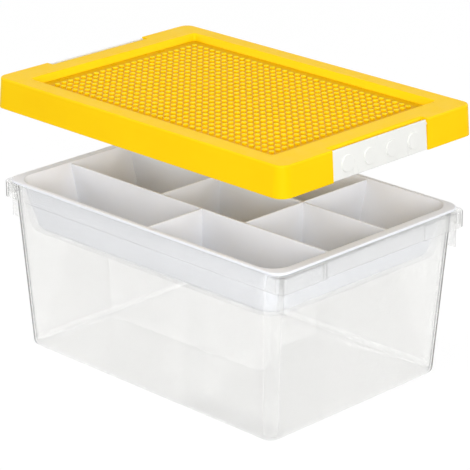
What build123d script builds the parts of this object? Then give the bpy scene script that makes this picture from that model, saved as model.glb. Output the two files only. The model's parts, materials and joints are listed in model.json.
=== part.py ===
from build123d import *
from math import hypot
import os

# A clear storage tub with a white lift-out tray and a yellow lid. The lid carries a
# studded building plate in its recess and a white latch at each end.
# Millimetres. X runs along the box, Z is up, and the origin is the middle of the
# tub's underside. The lid is shown lifted off, as it is when the tray is in use.

os.makedirs("parts", exist_ok=True)

overrun = 1.0                   # how far a cut runs past the face that it opens
level_tolerance = 0.05          # how near to a height an edge counts as lying at it

# Clear tub: outside of its body
tub_height = 163.5
tub_half_length = 170.9         # at the rim
tub_half_width = 120.6
tub_end_lean = 11.3             # how far each wall leans in by the foot
tub_side_lean = 9.0
tub_corner = 15.0
foot_corner = 13.0
foot_round = 7.0
tub_wall = 2.0

# Flange and band, turned down round the tub's rim
band_height = 15.5
band_step = 0.6                 # how far the band stands out on the long sides
flange_reach = 9.2              # beyond the body, at the corners of each end
flange_latch_reach = 7.4        # beyond the body, behind each latch
flange_corner = 8.5
flange_edge_round = 1.0
rib_reach = 4.0                 # the small ribs under the flange's corners
rib_drop = 20.0
rib_thickness = 1.6
rib_inset = 7.8                 # from the long side to the middle of a rib

# White tray: it hangs in the tub by its rim
tray_depth = 47.0
tray_wall = 1.6
tray_rim_thickness = 2.2
tray_gap = 0.5                  # air between the tray and the tub's inside
tray_rim_inset = 2.8            # from the flange's edge behind the latches
tray_rim_side_inset = 0.7       # from the band's edge on the long sides
tray_rim_corner = 14.0
tray_corner = 21.5
tray_end_lean = 13.4            # how far each wall leans in by the tray's foot
tray_side_lean = 11.1
tray_foot_corner = 18.0
tray_foot_round = 6.0
tray_edge_round = 0.8
divider_thickness = 1.6
divider_gap = 0.5               # air under the closed lid

# Where the dividers stand, as shares of the tray's half width and half length
front_divider_share = -0.395
back_divider_share = 0.25
front_cross_share = 0.06
left_cross_share = -0.26
right_cross_share = 0.375

# Yellow lid
lid_height = 28.5
lid_flare = 2.0                 # how much wider the skirt is at its foot
lid_wall = 1.7
lid_gap = 0.3                   # air between the closed lid and the flange
lid_edge_round = 1.6
lid_seat_gap = 0.3              # air between the end walls and the tray's rim
lid_lift = 90.0                 # how far the lid is shown above its closed place

# Recess in the lid's top, and the studded plate that fills its floor
rim_end_width = 27.4            # from the lid's side to the recess
rim_side_width = 17.1
recess_corner = 2.0
recess_mouth_corner = 4.0
recess_slope = 3.0              # how far each wall leans in by the floor
recess_depth = 6.3              # from the lid's top to the plate's surface
recess_floor = 1.5
recess_edge_round = 0.8
plate_thickness = 1.2
plate_gap = 0.1
stud_pitch = 8.0
stud_margin = 9.0               # plain border of the plate, at least
stud_radius = 2.45
stud_height = 1.7

# Notch in each end of the lid, where its latch hangs
notch_wall_height = 8.0
notch_web = 2.2
notch_web_gap = 0.6             # air between a web and the step in the flange
notch_edge_round = 3.5

# White latch: a plate on two stubs, with a hooked lip
latch_half_width = 60.4
latch_side_gap = 0.8
latch_thickness = 2.2
latch_gap = 0.3                 # air between the closed latch and the flange
latch_top_drop = 1.3            # from the lid's top to the latch's top
pivot_drop = 5.0                # from the lid's top to the hinge line
pivot_wall_gap = 0.45           # air between the turning latch and the wall behind
stub_radius = 1.05
stub_clearance = 0.05
stub_end_gap = 0.4
hook_gap = 0.3
hook_reach = 1.5                # how far the lip reaches under the flange's edge
hook_height = 2.0
hook_round = 0.7
latch_end_round = 0.6
latch_open_angle = 5.0          # degrees, how the latches hang when unhooked
button_radius = 7.6
button_height = 1.0
button_round = 0.5
button_drop = 15.8              # from the lid's top to the middle of the buttons
button_pitch = 28.3
button_count = 4

# Sizes that follow from the ones above
flange_half_length = tub_half_length + flange_reach
latch_flange_half_length = tub_half_length + flange_latch_reach
band_half_width = tub_half_width + band_step
foot_half_length = tub_half_length - tub_end_lean
foot_half_width = tub_half_width - tub_side_lean
tray_half_length = tub_half_length - tub_wall - tray_gap
tray_half_width = tub_half_width - tub_wall - tray_gap
tray_foot_half_length = tray_half_length - tray_end_lean
tray_foot_half_width = tray_half_width - tray_side_lean
recess_stack = recess_depth + plate_thickness + recess_floor
lid_rise = tray_rim_thickness + lid_seat_gap + notch_wall_height
divider_top = tub_height + lid_rise - recess_stack - divider_gap
skirt_reach = lid_gap + lid_wall - lid_flare * lid_rise / lid_height
lid_half_length = flange_half_length + skirt_reach
lid_half_width = band_half_width + skirt_reach
lid_corner = flange_corner + skirt_reach
recess_half_length = lid_half_length - rim_end_width
recess_half_width = lid_half_width - rim_side_width
plate_half_length = recess_half_length - recess_slope - plate_gap
plate_half_width = recess_half_width - recess_slope - plate_gap
studs_along = int(2 * (plate_half_length - stud_margin) / stud_pitch)
studs_across = int(2 * (plate_half_width - stud_margin) / stud_pitch)
lid_top = tub_height + lid_rise + lid_lift
notch_half_width = latch_half_width + latch_side_gap
flange_step_half_width = notch_half_width + notch_web + notch_web_gap
latch_back = latch_flange_half_length + latch_gap
pivot_x = latch_back + latch_thickness / 2
pivot_z = lid_top - pivot_drop
latch_top_reach = hypot(pivot_drop - latch_top_drop, latch_thickness / 2)
notch_wall_x = pivot_x - latch_top_reach - pivot_wall_gap


def outline(half_length, half_width, corner, level=0):
    """Flat rounded rectangle about the box's middle, at a height."""
    return Pos(0, 0, level) * RectangleRounded(2 * half_length, 2 * half_width, corner)


def tapered(low, high):
    """Solid with straight leaning sides between two outlines."""
    return loft([low, high], ruled=True)


def block(x_range, y_range, z_range):
    """Box between two places on each axis."""
    size = [high - low for low, high in (x_range, y_range, z_range)]
    middle = [(high + low) / 2 for low, high in (x_range, y_range, z_range)]
    return Pos(*middle) * Box(*size)


def both_ends(piece):
    """A piece of the right end, with its twin at the left end."""
    return [piece, Rot(0, 0, 180) * piece]


def edges_at(shape, level):
    """Edges that lie flat at a height."""
    flat = [edge for edge in shape.edges() if edge.bounding_box().size.Z < level_tolerance]
    return [edge for edge in flat if abs(edge.center().Z - level) < level_tolerance]


def tub_body():
    """Outside of the tub below its rim, with a rounded foot."""
    foot = outline(foot_half_length, foot_half_width, foot_corner)
    rim = outline(tub_half_length, tub_half_width, tub_corner, tub_height)
    body = tapered(foot, rim)
    return fillet(edges_at(body, 0), foot_round)


def tub_hollow():
    """Space inside the tub, open at the top."""
    foot = outline(foot_half_length - tub_wall, foot_half_width - tub_wall,
                   foot_corner - tub_wall, tub_wall)
    rim = outline(tub_half_length - tub_wall, tub_half_width - tub_wall,
                  tub_corner - tub_wall, tub_height)
    hollow = tapered(foot, rim)
    hollow = fillet(edges_at(hollow, tub_wall), foot_round - tub_wall)
    return hollow + extrude(rim, overrun)


def flange_outline(inset, level):
    """Flange seen from above, stepped in behind each latch."""
    shape = outline(flange_half_length - inset, band_half_width - inset,
                    flange_corner - inset, level)
    step_depth = flange_reach - flange_latch_reach + overrun
    step_place = latch_flange_half_length - inset + step_depth / 2
    step = Rectangle(step_depth, 2 * (flange_step_half_width + inset))
    for side in (-1, 1):
        shape -= Pos(side * step_place, 0, level) * step
    return shape


def tub_flange():
    """Top plate and turned-down edge round the rim."""
    low = tub_height - band_height
    flange = extrude(flange_outline(0, low), band_height)
    flange = fillet(edges_at(flange, tub_height), flange_edge_round)
    under = flange_outline(tub_wall, low - overrun)
    return flange - extrude(under, band_height - tub_wall + overrun)


def corner_ribs():
    """Small upright ribs under the flange's corners."""
    low = tub_height - band_height - rib_drop
    reach = (tub_half_length - tub_corner, tub_half_length + rib_reach)
    middle = tub_half_width - rib_inset
    ribs = []
    for side in (-1, 1):
        across = (side * middle - rib_thickness / 2, side * middle + rib_thickness / 2)
        ribs += both_ends(block(reach, across, (low, tub_height - tub_wall)))
    return ribs


def make_tub():
    return tub_body() + tub_flange() + corner_ribs() - tub_hollow()


def tray_hollow():
    """Space inside the tray as one piece, before the dividers."""
    level = tub_height + tray_rim_thickness
    foot = outline(tray_foot_half_length - tray_wall, tray_foot_half_width - tray_wall,
                   tray_foot_corner - tray_wall, level - tray_depth + tray_wall)
    rim = outline(tray_half_length - tray_wall, tray_half_width - tray_wall,
                  tray_corner - tray_wall, level)
    hollow = tapered(foot, rim)
    return fillet(edges_at(hollow, level - tray_depth + tray_wall), tray_foot_round - tray_wall)


def divider(x_range, y_range):
    """Upright wall of the tray, with a rounded top."""
    low = tub_height + tray_rim_thickness - tray_depth
    wall = block(x_range, y_range, (low, divider_top))
    along = Axis.X if x_range[1] - x_range[0] > y_range[1] - y_range[0] else Axis.Y
    top_edges = wall.edges().filter_by(along).group_by(Axis.Z)[-1]
    return fillet(top_edges, divider_thickness / 3)


def dividers():
    """Two walls along the tray and three across it."""
    half = divider_thickness / 2
    length = tray_half_length
    width = tray_half_width
    front = width * front_divider_share
    back = width * back_divider_share
    walls = [divider((-length, length), (place - half, place + half)) for place in (front, back)]
    for share, low, high in ((front_cross_share, -width, front),
                             (left_cross_share, front, width),
                             (right_cross_share, front, width)):
        place = length * share
        walls.append(divider((place - half, place + half), (low, high)))
    return walls


def make_tray():
    level = tub_height + tray_rim_thickness
    foot = outline(tray_foot_half_length, tray_foot_half_width, tray_foot_corner,
                   level - tray_depth)
    top = outline(tray_half_length, tray_half_width, tray_corner, level)
    body = tapered(foot, top)
    body = fillet(edges_at(body, level - tray_depth), tray_foot_round)
    rim = extrude(outline(latch_flange_half_length - tray_rim_inset,
                          band_half_width - tray_rim_side_inset,
                          tray_rim_corner, tub_height), tray_rim_thickness)
    rim = fillet(edges_at(rim, level), tray_edge_round)
    hollow = tray_hollow()
    tray = body + rim - hollow
    walls = [wall & hollow for wall in dividers()]
    return tray + walls


def lid_outside():
    """Lid with its skirt, as one block with a rounded top edge."""
    foot = outline(lid_half_length + lid_flare, lid_half_width + lid_flare,
                   lid_corner + lid_flare, lid_top - lid_height)
    top = outline(lid_half_length, lid_half_width, lid_corner, lid_top)
    block_shape = tapered(foot, top)
    return fillet(edges_at(block_shape, lid_top), lid_edge_round)


def lid_hollow():
    """Space under the lid, open at the foot of the skirt."""
    foot = outline(lid_half_length + lid_flare - lid_wall, lid_half_width + lid_flare - lid_wall,
                   lid_corner + lid_flare - lid_wall, lid_top - lid_height)
    top = outline(lid_half_length - lid_wall, lid_half_width - lid_wall,
                  lid_corner - lid_wall, lid_top)
    hollow = tapered(foot, top) + extrude(foot, -overrun)
    ceiling = block((-lid_half_length, lid_half_length), (-lid_half_width, lid_half_width),
                    (lid_top - lid_wall, lid_top + overrun))
    return hollow - ceiling


def recess(grow, low, high):
    """Leaning-sided recess, made larger all round by a wall."""
    floor = outline(recess_half_length - recess_slope + grow,
                    recess_half_width - recess_slope + grow, recess_corner + grow, low)
    mouth = outline(recess_half_length + grow, recess_half_width + grow,
                    recess_mouth_corner + grow, high)
    return tapered(floor, mouth)


def notch_webs(outside):
    """Side webs of one notch, which carry the latch's stubs."""
    low = lid_top - lid_height
    step = lid_top - notch_wall_height
    far = lid_half_length + lid_flare
    webs = []
    for side in (-1, 1):
        across = sorted((side * notch_half_width, side * (notch_half_width + notch_web)))
        upper = block((notch_wall_x - lid_wall, far), across, (step, lid_top))
        lower = block((latch_back, far), across, (low, step))
        webs.append((upper + lower) & outside)
    return webs


def make_lid():
    outside = lid_outside()
    well_low = lid_top - recess_stack
    lid = outside - lid_hollow() + recess(lid_wall, well_low, lid_top - lid_edge_round)
    lid -= recess(0, well_low + recess_floor, lid_top)
    lid = fillet([edge for edge in edges_at(lid, lid_top)
                  if abs(edge.center().X) < recess_half_length + lid_wall
                  and abs(edge.center().Y) < recess_half_width + lid_wall], recess_edge_round)
    far = lid_half_length + lid_flare + overrun
    cut = block((notch_wall_x, far), (-notch_half_width, notch_half_width),
                (lid_top - lid_height - overrun, lid_top + overrun))
    wall_across = notch_half_width + notch_web
    wall = block((notch_wall_x - lid_wall, notch_wall_x), (-wall_across, wall_across),
                 (lid_top - notch_wall_height, lid_top))
    hole = Pos(pivot_x, 0, pivot_z) * Rot(90, 0, 0) * Cylinder(
        stub_radius + stub_clearance, 2 * (wall_across + overrun))
    for piece in both_ends(cut):
        lid -= piece
    for piece in [wall] + notch_webs(outside):
        lid += both_ends(piece)
    brow = [edge for edge in edges_at(lid, lid_top)
            if abs(abs(edge.center().X) - notch_wall_x) < level_tolerance]
    lid = fillet(brow, notch_edge_round)
    for piece in both_ends(hole):
        lid -= piece
    return lid


def make_stud_plate():
    """Thin plate with its grid of studs."""
    low = lid_top - recess_depth - plate_thickness
    plate = extrude(outline(plate_half_length, plate_half_width, recess_corner, low),
                    plate_thickness)
    grid = GridLocations(stud_pitch, stud_pitch, studs_along, studs_across)
    circles = Sketch() + [place * Circle(stud_radius) for place in grid]
    studs = extrude(Pos(0, 0, low) * circles, plate_thickness + stud_height)
    return plate + studs


def latch_side_profile():
    """Closed latch seen along its hinge line: a plate with a lip that hooks inwards."""
    front = latch_back + latch_thickness
    top = lid_top - latch_top_drop
    hook_top = lid_top - lid_rise - band_height - hook_gap
    hook_tip = latch_flange_half_length - hook_reach
    foot = hook_top - hook_height
    points = [(latch_back, top), (front, top), (front, foot), (hook_tip, foot),
              (hook_tip, hook_top), (latch_back, hook_top)]
    return Plane.XZ * Polygon(*points, align=None)


def make_latch():
    """Right latch, turned out from its closed place to where it hangs."""
    plate = extrude(latch_side_profile(), latch_half_width, both=True)
    long_edges = plate.edges().filter_by(Axis.Y)
    foot = long_edges.group_by(Axis.Z)[0]
    top = long_edges.group_by(Axis.Z)[-1]
    plate = fillet(foot + top, hook_round)
    front = latch_back + latch_thickness
    ends = [edge for edge in plate.edges().filter_by(Axis.Z)
            if abs(edge.center().X - front) < level_tolerance]
    plate = fillet(ends, latch_end_round)
    button = Cylinder(button_radius, 2 * button_height)
    button = fillet(button.edges().group_by(Axis.Z)[-1], button_round)
    for index in range(button_count):
        across = (index - (button_count - 1) / 2) * button_pitch
        plate += Pos(front, across, lid_top - button_drop) * Rot(0, 90, 0) * button
    stub_half = notch_half_width + notch_web - stub_end_gap
    stub = Pos(pivot_x, 0, pivot_z) * Rot(90, 0, 0) * Cylinder(stub_radius, 2 * stub_half)
    latch = plate + stub
    hinge = Axis((pivot_x, 0, pivot_z), (0, -1, 0))
    return latch.rotate(hinge, latch_open_angle)


latch = make_latch()
export_step(make_tub(), "parts/tub.step")
export_step(make_tray(), "parts/tray.step")
export_step(make_lid(), "parts/lid.step")
export_step(make_stud_plate(), "parts/stud_plate.step")
export_step(latch, "parts/latch_right.step")
export_step(Rot(0, 0, 180) * latch, "parts/latch_left.step")
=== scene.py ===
import json
import math

import bmesh
import bpy
from mathutils import Matrix, Vector


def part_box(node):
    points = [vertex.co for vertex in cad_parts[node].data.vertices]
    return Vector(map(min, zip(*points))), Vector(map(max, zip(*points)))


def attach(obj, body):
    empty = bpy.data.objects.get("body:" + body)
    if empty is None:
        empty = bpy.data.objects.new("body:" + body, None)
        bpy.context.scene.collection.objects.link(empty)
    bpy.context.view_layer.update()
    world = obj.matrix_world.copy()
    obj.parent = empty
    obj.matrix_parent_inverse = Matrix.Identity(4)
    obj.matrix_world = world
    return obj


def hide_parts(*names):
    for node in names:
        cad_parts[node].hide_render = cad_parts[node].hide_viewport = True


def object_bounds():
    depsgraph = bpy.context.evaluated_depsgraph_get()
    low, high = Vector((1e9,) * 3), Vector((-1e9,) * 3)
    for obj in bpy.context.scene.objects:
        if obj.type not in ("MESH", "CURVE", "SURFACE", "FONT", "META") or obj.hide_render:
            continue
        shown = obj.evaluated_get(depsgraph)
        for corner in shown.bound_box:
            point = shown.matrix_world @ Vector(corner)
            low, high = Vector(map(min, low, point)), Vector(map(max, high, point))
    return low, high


# Looks of a clear storage tub with a white lift-out tray and a yellow building lid.
# Metres, in the same frame as the construction model.

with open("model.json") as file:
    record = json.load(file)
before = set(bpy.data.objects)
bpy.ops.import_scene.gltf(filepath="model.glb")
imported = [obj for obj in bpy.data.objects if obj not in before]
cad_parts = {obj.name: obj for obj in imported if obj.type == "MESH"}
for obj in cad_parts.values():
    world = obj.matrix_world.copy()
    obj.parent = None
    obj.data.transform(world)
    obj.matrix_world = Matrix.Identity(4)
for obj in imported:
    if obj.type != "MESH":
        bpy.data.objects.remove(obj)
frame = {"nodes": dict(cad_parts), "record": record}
cad_low, cad_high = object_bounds()
millimetre = 0.001
stud_mount = next(mount for mount in frame["record"]["mounts"]
                  if mount["name"] == "corner_studs")

# Camera of the photograph
image_pixels = 470
focal_pixels = 2509.66
sensor_width = 36.0             # millimetres of film
camera_azimuth = math.radians(44.658)
camera_elevation = math.radians(20.768)
camera_distance = 2.36119
camera_right = 0.004037         # where the picture's middle passes the origin
camera_up = 0.115345
clip_share = 100                # the camera sees from its distance over this to times this

# Studded plate
stud_pitch = 8 * millimetre
stud_radius = 2.45 * millimetre
stud_round = 0.42 * millimetre
round_steps = 2                 # bands in a stud's rounded top edge
stud_sides = 24                 # a multiple of 8, so that a cell's corners have points
plate_corner = 2 * millimetre
corner_points = 6
merge_distance = 0.001 * millimetre
sharp_angle = math.radians(40)

# Opaque plastics
opaque_ior = 1.5
bevel_samples = 6
cloud_size = 45 * millimetre    # soft clouds of colour
stud_cloud_shade = 0.985        # how much darker the clouds are on the studded plate
smear_size = 14 * millimetre    # smears in the satin skin
smear_low, smear_high = 0.85, 1.2               # shares of the roughness
wave_size, wave_depth = 22 * millimetre, 0.05 * millimetre
grain_depth = 0.012 * millimetre
plate_wave_size, plate_wave_depth = 30 * millimetre, 0.04 * millimetre

# Clear plastic
clear_ior = 1.45
clear_tint = (0.98, 0.98, 0.975, 1)
pane_tint = (0.995, 0.994, 0.99, 1)             # of the view straight through a wall
edge_shade_tint = (0.2, 0.2, 0.196, 1)             # painted shade: the dark view along a round corner, in place of the darkness refraction gives there
clear_smear_size = 30 * millimetre
clear_smooth, clear_rough = 0.02, 0.07
flow_size, flow_depth = 60 * millimetre, 0.12 * millimetre
clear_edge = 0.6 * millimetre
mirror_power = 4                # how steeply the mirroring grows with the slant
mirror_least, mirror_most = 0.03, 0.5
haze_colour = (196, 198, 198)
haze_density = 9.0              # per metre of plastic

# Studio
lamp_distance = 2.6
floor_sizes = 60                # half the floor's side, in sizes of the object
floor_gap = 0.05 * millimetre
shadow_near, shadow_far = 0.5, 2.0              # metres over which the shadow fades out
white = (1, 1, 1, 1)

# Places of the colours on the Mix node
mix_first, mix_second, mix_result = 6, 7, 2


def srgb(red, green, blue):
    """Linear colour of a colour as a picture writes it, from 0 to 255."""
    def linear(value):
        share = value / 255
        return share / 12.92 if share <= 0.04045 else ((share + 0.055) / 1.055) ** 2.4
    return (linear(red), linear(green), linear(blue), 1.0)


def heading(azimuth, elevation):
    """Direction from the object towards a place round it. The front has azimuth 0."""
    level = math.cos(elevation)
    return Vector((math.sin(azimuth) * level, -math.cos(azimuth) * level,
                   math.sin(elevation)))


def add_object(name, data):
    """Object with this mesh, lamp or camera, in the scene."""
    thing = bpy.data.objects.new(name, data)
    bpy.context.scene.collection.objects.link(thing)
    return thing


def add_mesh(name, mesh):
    """Object made of a finished bmesh, which is freed."""
    data = bpy.data.meshes.new(name)
    mesh.to_mesh(data)
    mesh.free()
    return add_object(name, data)


# Camera

def make_camera():
    """Stands where the photographer stood, level with the picture's sides."""
    back = heading(camera_azimuth, camera_elevation)
    right = Vector((math.cos(camera_azimuth), math.sin(camera_azimuth), 0))
    up = back.cross(right)
    data = bpy.data.cameras.new("camera")
    data.sensor_width = sensor_width
    data.lens = focal_pixels / image_pixels * sensor_width
    data.clip_start = camera_distance / clip_share
    data.clip_end = camera_distance * clip_share
    camera = add_object("camera", data)
    camera.matrix_world = Matrix((right, up, back)).transposed().to_4x4()
    camera.location = right * camera_right + up * camera_up + back * camera_distance
    bpy.context.scene.camera = camera


# Nodes

def new_material(name):
    """Material with an empty tree and its output node."""
    material = bpy.data.materials.new(name)
    material.use_nodes = True
    tree = material.node_tree
    tree.nodes.clear()
    return material, tree, tree.nodes.new("ShaderNodeOutputMaterial")


def feed(tree, socket, value):
    """Link a value to a socket, or set a plain number or colour on it."""
    if isinstance(value, bpy.types.NodeSocket):
        tree.links.new(value, socket)
    else:
        socket.default_value = value


def coordinate(tree, kind):
    """Texture coordinate of a kind, such as Object or Normal."""
    return tree.nodes.new("ShaderNodeTexCoord").outputs[kind]


def split_vector(tree, vector):
    """X, Y and Z of a vector."""
    node = tree.nodes.new("ShaderNodeSeparateXYZ")
    tree.links.new(vector, node.inputs["Vector"])
    return node.outputs["X"], node.outputs["Y"], node.outputs["Z"]


def vector_sum(tree, operation, *vectors):
    """Number that a sum on vectors gives."""
    node = tree.nodes.new("ShaderNodeVectorMath")
    node.operation = operation
    for index, vector in enumerate(vectors):
        tree.links.new(vector, node.inputs[index])
    return node.outputs["Value"]


def calculate(tree, operation, first, second=None):
    """Result of a sum on a value, with another value or a number."""
    node = tree.nodes.new("ShaderNodeMath")
    node.operation = operation
    tree.links.new(first, node.inputs[0])
    if second is not None:
        feed(tree, node.inputs[1], second)
    return node.outputs[0]


def noise(tree, size, detail, stretch=(1, 1, 1)):
    """Noise whose blobs are about this large, in metres, drawn out by the stretch."""
    mapping = tree.nodes.new("ShaderNodeMapping")
    mapping.inputs["Scale"].default_value = tuple(1 / value for value in stretch)
    node = tree.nodes.new("ShaderNodeTexNoise")
    node.inputs["Scale"].default_value = 1 / size
    node.inputs["Detail"].default_value = detail
    tree.links.new(coordinate(tree, "Object"), mapping.inputs["Vector"])
    tree.links.new(mapping.outputs["Vector"], node.inputs["Vector"])
    return node.outputs["Fac"]


def remap(tree, value, low, high, start=0.3, end=0.7):
    """Value brought from one range to another. Most of a noise lies from 0.3 to 0.7."""
    node = tree.nodes.new("ShaderNodeMapRange")
    node.inputs["From Min"].default_value = start
    node.inputs["From Max"].default_value = end
    node.inputs["To Min"].default_value = low
    node.inputs["To Max"].default_value = high
    tree.links.new(value, node.inputs["Value"])
    return node.outputs["Result"]


def mix_colour(tree, value, first, second):
    """Colour between two colours, by a value."""
    node = tree.nodes.new("ShaderNodeMix")
    node.data_type = "RGBA"
    tree.links.new(value, node.inputs["Factor"])
    feed(tree, node.inputs[mix_first], first)
    feed(tree, node.inputs[mix_second], second)
    return node.outputs[mix_result]


def mix_shaders(tree, share, first, second):
    """Shader between two shaders, by a value or a number."""
    node = tree.nodes.new("ShaderNodeMixShader")
    feed(tree, node.inputs["Fac"], share)
    tree.links.new(first, node.inputs[1])
    tree.links.new(second, node.inputs[2])
    return node.outputs[0]


def bump(tree, height, depth, strength, under=None):
    """Normal that a height field of this depth gives, over another normal."""
    node = tree.nodes.new("ShaderNodeBump")
    node.inputs["Distance"].default_value = depth
    node.inputs["Strength"].default_value = strength
    tree.links.new(height, node.inputs["Height"])
    if under is not None:
        tree.links.new(under, node.inputs["Normal"])
    return node.outputs["Normal"]


def soft_edges(tree, radius):
    """Normal that rounds sharp edges off when light falls on them."""
    node = tree.nodes.new("ShaderNodeBevel")
    node.inputs["Radius"].default_value = radius
    node.samples = bevel_samples
    return node.outputs["Normal"]


# Materials

def cloudy_colour(tree, colour, deep):
    """Two close shades in soft clouds, as the colour lies in a moulding."""
    clouds = noise(tree, cloud_size, detail=2.0)
    return mix_colour(tree, remap(tree, clouds, 0, 1), srgb(*colour), srgb(*deep))


def plastic_shader(tree, output, shade, roughness, specular):
    """Opaque plastic of a colour, with a satin skin that varies in soft smears."""
    shader = tree.nodes.new("ShaderNodeBsdfPrincipled")
    shader.inputs["IOR"].default_value = opaque_ior
    shader.inputs["Specular IOR Level"].default_value = specular
    tree.links.new(shade, shader.inputs["Base Color"])
    smears = noise(tree, smear_size, detail=5.0, stretch=(1, 1, 3))
    tree.links.new(remap(tree, smears, roughness * smear_low, roughness * smear_high),
                   shader.inputs["Roughness"])
    tree.links.new(shader.outputs[0], output.inputs["Surface"])
    return shader


def moulded_plastic(name, colour, deep, roughness, specular, grain, edge):
    """Opaque moulded plastic with a fine grain and soft edges."""
    material, tree, output = new_material(name)
    shade = cloudy_colour(tree, colour, deep)
    shader = plastic_shader(tree, output, shade, roughness, specular)
    skin = noise(tree, grain, detail=4.0)
    waves = noise(tree, wave_size, detail=1.0)
    normal = bump(tree, waves, wave_depth, strength=0.5, under=soft_edges(tree, edge))
    normal = bump(tree, skin, grain_depth, strength=0.6, under=normal)
    tree.links.new(normal, shader.inputs["Normal"])
    return material


def studded_plastic(name, floor_level, stud_level, shaded_floor_colour, highlit_stud_colour,
                    roughness, specular):
    """Plastic of the studded plate, yellow with painted light: lighter towards the studs' tops
    as a painted highlight, darker on the floor between them as painted shade.
    """
    material, tree, output = new_material(name)
    height = split_vector(tree, coordinate(tree, "Object"))[2]
    deep = [stud_cloud_shade * value for value in shaded_floor_colour]
    # Painted light: the colour blends by height from the darker floor colour (painted shade) to
    # the lighter stud colour (painted highlight)
    shade = mix_colour(tree, remap(tree, height, 0, 1, floor_level, stud_level),
                       cloudy_colour(tree, shaded_floor_colour, deep), srgb(*highlit_stud_colour))
    shader = plastic_shader(tree, output, shade, roughness, specular)
    waves = noise(tree, plate_wave_size, detail=1.0)
    tree.links.new(bump(tree, waves, plate_wave_depth, strength=0.5),
                   shader.inputs["Normal"])
    return material


def window(tree, colour):
    """Straight view through a thin wall."""
    pane = tree.nodes.new("ShaderNodeBsdfTransparent")
    pane.inputs["Color"].default_value = colour
    return pane.outputs[0]


def along_skin(tree, facing):
    """One where the outside of an upright round corner is seen along its skin."""
    normal = coordinate(tree, "Normal")
    outward = vector_sum(tree, "DOT_PRODUCT", coordinate(tree, "Object"), normal)
    outside = calculate(tree, "GREATER_THAN", outward, 0)
    x, y, z = split_vector(tree, normal)
    upright = remap(tree, calculate(tree, "ABSOLUTE", z), 1, 0)
    turned = calculate(tree, "ABSOLUTE", calculate(tree, "MULTIPLY", x, y))
    corner = remap(tree, turned, 0, 1, start=0.04, end=0.14)
    share = remap(tree, facing, 0, 1, start=0.55, end=0.8)
    for limit in (upright, outside, corner):
        share = calculate(tree, "MULTIPLY", share, limit)
    return share


def mirror_share(tree, facing):
    """Share of light that a smooth skin throws back: little straight on, more at a slant."""
    slant = calculate(tree, "POWER", facing, mirror_power)
    return remap(tree, slant, mirror_least, mirror_most, start=0, end=1)


def clear_plastic(name, bent_share):
    """Clear plastic: most of the view passes straight, and a share bends as in thick edges."""
    material, tree, output = new_material(name)
    shader = tree.nodes.new("ShaderNodeBsdfPrincipled")
    shader.inputs["Base Color"].default_value = clear_tint
    shader.inputs["IOR"].default_value = clear_ior
    shader.inputs["Transmission Weight"].default_value = 1.0
    smears = noise(tree, clear_smear_size, detail=4.0, stretch=(1, 1, 4))
    roughness = remap(tree, smears, clear_smooth, clear_rough)
    flow = noise(tree, flow_size, detail=2.0, stretch=(1, 1, 2))
    normal = bump(tree, flow, flow_depth, strength=0.5, under=soft_edges(tree, clear_edge))
    gloss = tree.nodes.new("ShaderNodeBsdfGlossy")
    for skin in (shader, gloss):
        tree.links.new(roughness, skin.inputs["Roughness"])
        tree.links.new(normal, skin.inputs["Normal"])
    edge = tree.nodes.new("ShaderNodeLayerWeight")
    edge.inputs["Blend"].default_value = 0.5
    facing = edge.outputs["Facing"]
    pane = window(tree, pane_tint)
    coated = mix_shaders(tree, mirror_share(tree, facing), pane, gloss.outputs[0])
    body = mix_shaders(tree, bent_share, coated, shader.outputs[0])
    # Painted shade: where an upright round corner is seen along its skin, the view passes a
    # dark tint in place of the darkness that refraction gives there
    body = mix_shaders(tree, along_skin(tree, facing), body, window(tree, edge_shade_tint))
    rays = tree.nodes.new("ShaderNodeLightPath")
    tree.links.new(mix_shaders(tree, rays.outputs["Is Shadow Ray"], body, pane),
                   output.inputs["Surface"])
    haze = tree.nodes.new("ShaderNodeVolumeAbsorption")
    haze.inputs["Color"].default_value = srgb(*haze_colour)
    haze.inputs["Density"].default_value = haze_density
    tree.links.new(haze.outputs[0], output.inputs["Volume"])
    return material


def dress(piece, material):
    """The piece wears one material all over."""
    slots = piece.data.materials
    if len(slots) == 0:
        slots.append(material)
    for index in range(len(slots)):
        slots[index] = material


# Studded plate

def ring(mesh, middle, radius, level):
    """Points on a circle round a stud."""
    turn = 2 * math.pi / stud_sides
    return [mesh.verts.new((middle[0] + radius * math.cos(turn * step),
                            middle[1] + radius * math.sin(turn * step), level))
            for step in range(stud_sides)]


def cell_edge(mesh, middle, level):
    """Points on the square round a stud, each in line with a point of the stud's ring."""
    half = stud_pitch / 2
    points = []
    for step in range(stud_sides):
        turn = 2 * math.pi * step / stud_sides
        reach = half / max(abs(math.cos(turn)), abs(math.sin(turn)))
        points.append(mesh.verts.new((middle[0] + reach * math.cos(turn),
                                      middle[1] + reach * math.sin(turn), level)))
    return points


def join_rings(mesh, outer, inner):
    """Quads between two rings with as many points."""
    count = len(outer)
    for step in range(count):
        after = (step + 1) % count
        mesh.faces.new((outer[step], outer[after], inner[after], inner[step]))


def add_stud(mesh, middle, level, top):
    """One stud with a rounded top edge, and the square of plate round its foot."""
    square = cell_edge(mesh, middle, level)
    rings = [ring(mesh, middle, stud_radius, level)]
    for step in range(round_steps + 1):
        turn = step / round_steps * math.pi / 2
        rings.append(ring(mesh, middle, stud_radius - stud_round * (1 - math.cos(turn)),
                          top - stud_round * (1 - math.sin(turn))))
    for outer, inner in zip([square] + rings, rings):
        join_rings(mesh, outer, inner)
    mesh.faces.new(rings[-1])


def plate_outline(half_x, half_y):
    """Points round the plate, with rounded corners."""
    points = []
    for quarter in range(4):
        side_x = (1, -1, -1, 1)[quarter]
        side_y = (1, 1, -1, -1)[quarter]
        for step in range(corner_points):
            turn = (quarter + step / (corner_points - 1)) * math.pi / 2
            points.append((side_x * (half_x - plate_corner) + plate_corner * math.cos(turn),
                           side_y * (half_y - plate_corner) + plate_corner * math.sin(turn)))
    return points


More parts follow.
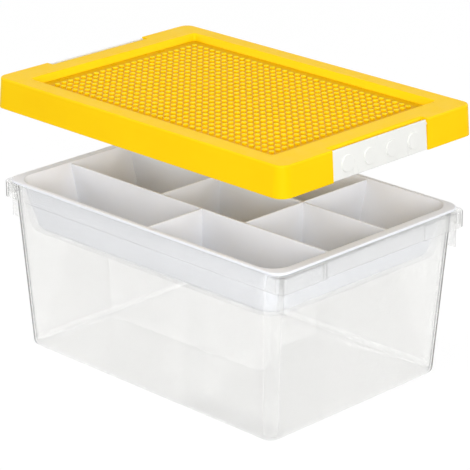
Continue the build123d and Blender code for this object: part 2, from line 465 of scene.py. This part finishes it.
def make_stud_plate():
    """The building surface: a grid of studs, its plain border, sides and underside."""
    low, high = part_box("stud_plate")
    level = stud_mount["pos_m"][2]
    along = round(stud_mount["dims"]["spacing_x_mm"] * millimetre / stud_pitch) + 1
    across = round(stud_mount["dims"]["spacing_y_mm"] * millimetre / stud_pitch) + 1
    mesh = bmesh.new()
    for column in range(along):
        for row in range(across):
            middle = ((column - (along - 1) / 2) * stud_pitch,
                      (row - (across - 1) / 2) * stud_pitch)
            add_stud(mesh, middle, level, high.z)
    bmesh.ops.remove_doubles(mesh, verts=mesh.verts[:], dist=merge_distance)
    border = [edge for edge in mesh.edges if edge.is_boundary]
    points = plate_outline(high.x, high.y)
    upper = [mesh.verts.new((x, y, level)) for x, y in points]
    lower = [mesh.verts.new((x, y, low.z)) for x, y in points]
    loop = [mesh.edges.new((upper[step - 1], upper[step])) for step in range(len(upper))]
    bmesh.ops.triangle_fill(mesh, use_beauty=True, use_dissolve=False, edges=border + loop)
    join_rings(mesh, lower, upper)
    mesh.faces.new(lower)
    bmesh.ops.recalc_face_normals(mesh, faces=mesh.faces[:])
    plate = add_mesh("studded_plate", mesh)
    plate.data.shade_smooth()
    plate.data.set_sharp_from_angle(angle=sharp_angle)
    return plate


# Stage

def add_lamp(name, azimuth, elevation, size, light):
    """Soft box that faces the object. Light is what it adds to a white face turned to it."""
    back = heading(math.radians(azimuth), math.radians(elevation))
    data = bpy.data.lights.new(name, "AREA")
    data.shape = "DISK"
    data.size = size
    data.energy = light * math.pi ** 2 * lamp_distance ** 2
    lamp = add_object(name, data)
    lamp.rotation_mode = "QUATERNION"
    lamp.rotation_quaternion = back.to_track_quat("Z", "Y")
    lamp.location = (cad_low + cad_high) / 2 + back * lamp_distance


def seen_rays(tree):
    """One for rays that show the background: straight, mirrored or through clear plastic."""
    rays = tree.nodes.new("ShaderNodeLightPath")
    value = rays.outputs["Is Camera Ray"]
    for name in ("Is Glossy Ray", "Is Transmission Ray"):
        value = calculate(tree, "MAXIMUM", value, rays.outputs[name])
    no_matt_face_between = calculate(tree, "LESS_THAN", rays.outputs["Diffuse Depth"], 0.5)
    return calculate(tree, "MULTIPLY", value, no_matt_face_between)


def make_world(horizon, zenith):
    """White where it is seen. Its light on the object is stronger from the sides than above."""
    world = bpy.data.worlds.new("studio")
    bpy.context.scene.world = world
    world.use_nodes = True
    tree = world.node_tree
    tree.nodes.clear()
    height = split_vector(tree, coordinate(tree, "Generated"))[2]
    backgrounds = []
    for strength in (remap(tree, height, horizon, zenith, start=0.2, end=0.7), 1.0):
        node = tree.nodes.new("ShaderNodeBackground")
        node.inputs["Color"].default_value = white
        feed(tree, node.inputs["Strength"], strength)
        backgrounds.append(node.outputs[0])
    output = tree.nodes.new("ShaderNodeOutputWorld")
    tree.links.new(mix_shaders(tree, seen_rays(tree), *backgrounds),
                   output.inputs["Surface"])


def make_floor(bounce, shadow_share, daylight):
    """White floor with a faint shadow near the object. Bounce is the light it sends back."""
    mesh = bmesh.new()
    bmesh.ops.create_grid(mesh, x_segments=1, y_segments=1,
                          size=floor_sizes * (cad_high - cad_low).length)
    floor = add_mesh("floor", mesh)
    floor.location.z = cad_low.z - floor_gap
    material, tree, output = new_material("pale_floor")
    seen = seen_rays(tree)
    away = vector_sum(tree, "LENGTH", coordinate(tree, "Object"))
    kept = remap(tree, away, shadow_share, 0, shadow_near, shadow_far)
    matt = tree.nodes.new("ShaderNodeBsdfDiffuse")
    tree.links.new(mix_colour(tree, seen, (bounce, bounce, bounce, 1), kept),
                   matt.inputs["Color"])
    glow = tree.nodes.new("ShaderNodeEmission")
    glow.inputs["Color"].default_value = white
    bright = remap(tree, kept, 1, 1 - shadow_share * daylight, 0, shadow_share)
    tree.links.new(calculate(tree, "MULTIPLY", seen, bright), glow.inputs["Strength"])
    both = tree.nodes.new("ShaderNodeAddShader")
    tree.links.new(matt.outputs[0], both.inputs[0])
    tree.links.new(glow.outputs[0], both.inputs[1])
    tree.links.new(both.outputs[0], output.inputs["Surface"])
    dress(floor, material)


make_camera()
bpy.context.scene.view_settings.view_transform = "Standard"
make_world(horizon=0.95, zenith=0.2)
make_floor(bounce=0.35, shadow_share=0.16, daylight=0.8)
add_lamp("front_lamp", azimuth=52, elevation=18, size=1.6, light=0.62)
add_lamp("left_lamp", azimuth=-65, elevation=22, size=1.6, light=0.24)
add_lamp("right_lamp", azimuth=158, elevation=22, size=1.6, light=0.24)
add_lamp("top_lamp", azimuth=20, elevation=74, size=1.8, light=0.31)

yellow_plastic = moulded_plastic(
    "yellow_moulding", colour=(255, 210, 9), deep=(254, 206, 7),
    roughness=0.36, specular=0.06, grain=0.7 * millimetre, edge=0.4 * millimetre)
tray_plastic = moulded_plastic(
    "white_tray_moulding", colour=(243, 245, 250), deep=(240, 242, 247),
    roughness=0.34, specular=0.3, grain=0.8 * millimetre, edge=0.5 * millimetre)
latch_plastic = moulded_plastic(
    "white_latch_moulding", colour=(236, 236, 232), deep=(233, 233, 229),
    roughness=0.3, specular=0.4, grain=0.8 * millimetre, edge=0.3 * millimetre)
tub_plastic = clear_plastic("clear_moulding", bent_share=0.3)
# The floor colour holds painted shade between the studs, and the stud colour a painted
# highlight on their tops
stud_plastic = studded_plastic(
    "yellow_stud_moulding_painted_light", floor_level=stud_mount["pos_m"][2],
    stud_level=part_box("stud_plate")[1].z, shaded_floor_colour=(236, 178, 4),
    highlit_stud_colour=(251, 223, 17), roughness=0.3, specular=0.06)

dress(frame["nodes"]["tub"], tub_plastic)
dress(frame["nodes"]["tray"], tray_plastic)
dress(frame["nodes"]["lid"], yellow_plastic)
dress(frame["nodes"]["latch_left"], latch_plastic)
dress(frame["nodes"]["latch_right"], latch_plastic)

plate = make_stud_plate()
dress(plate, stud_plastic)
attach(plate, "lid")
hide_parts("stud_plate")
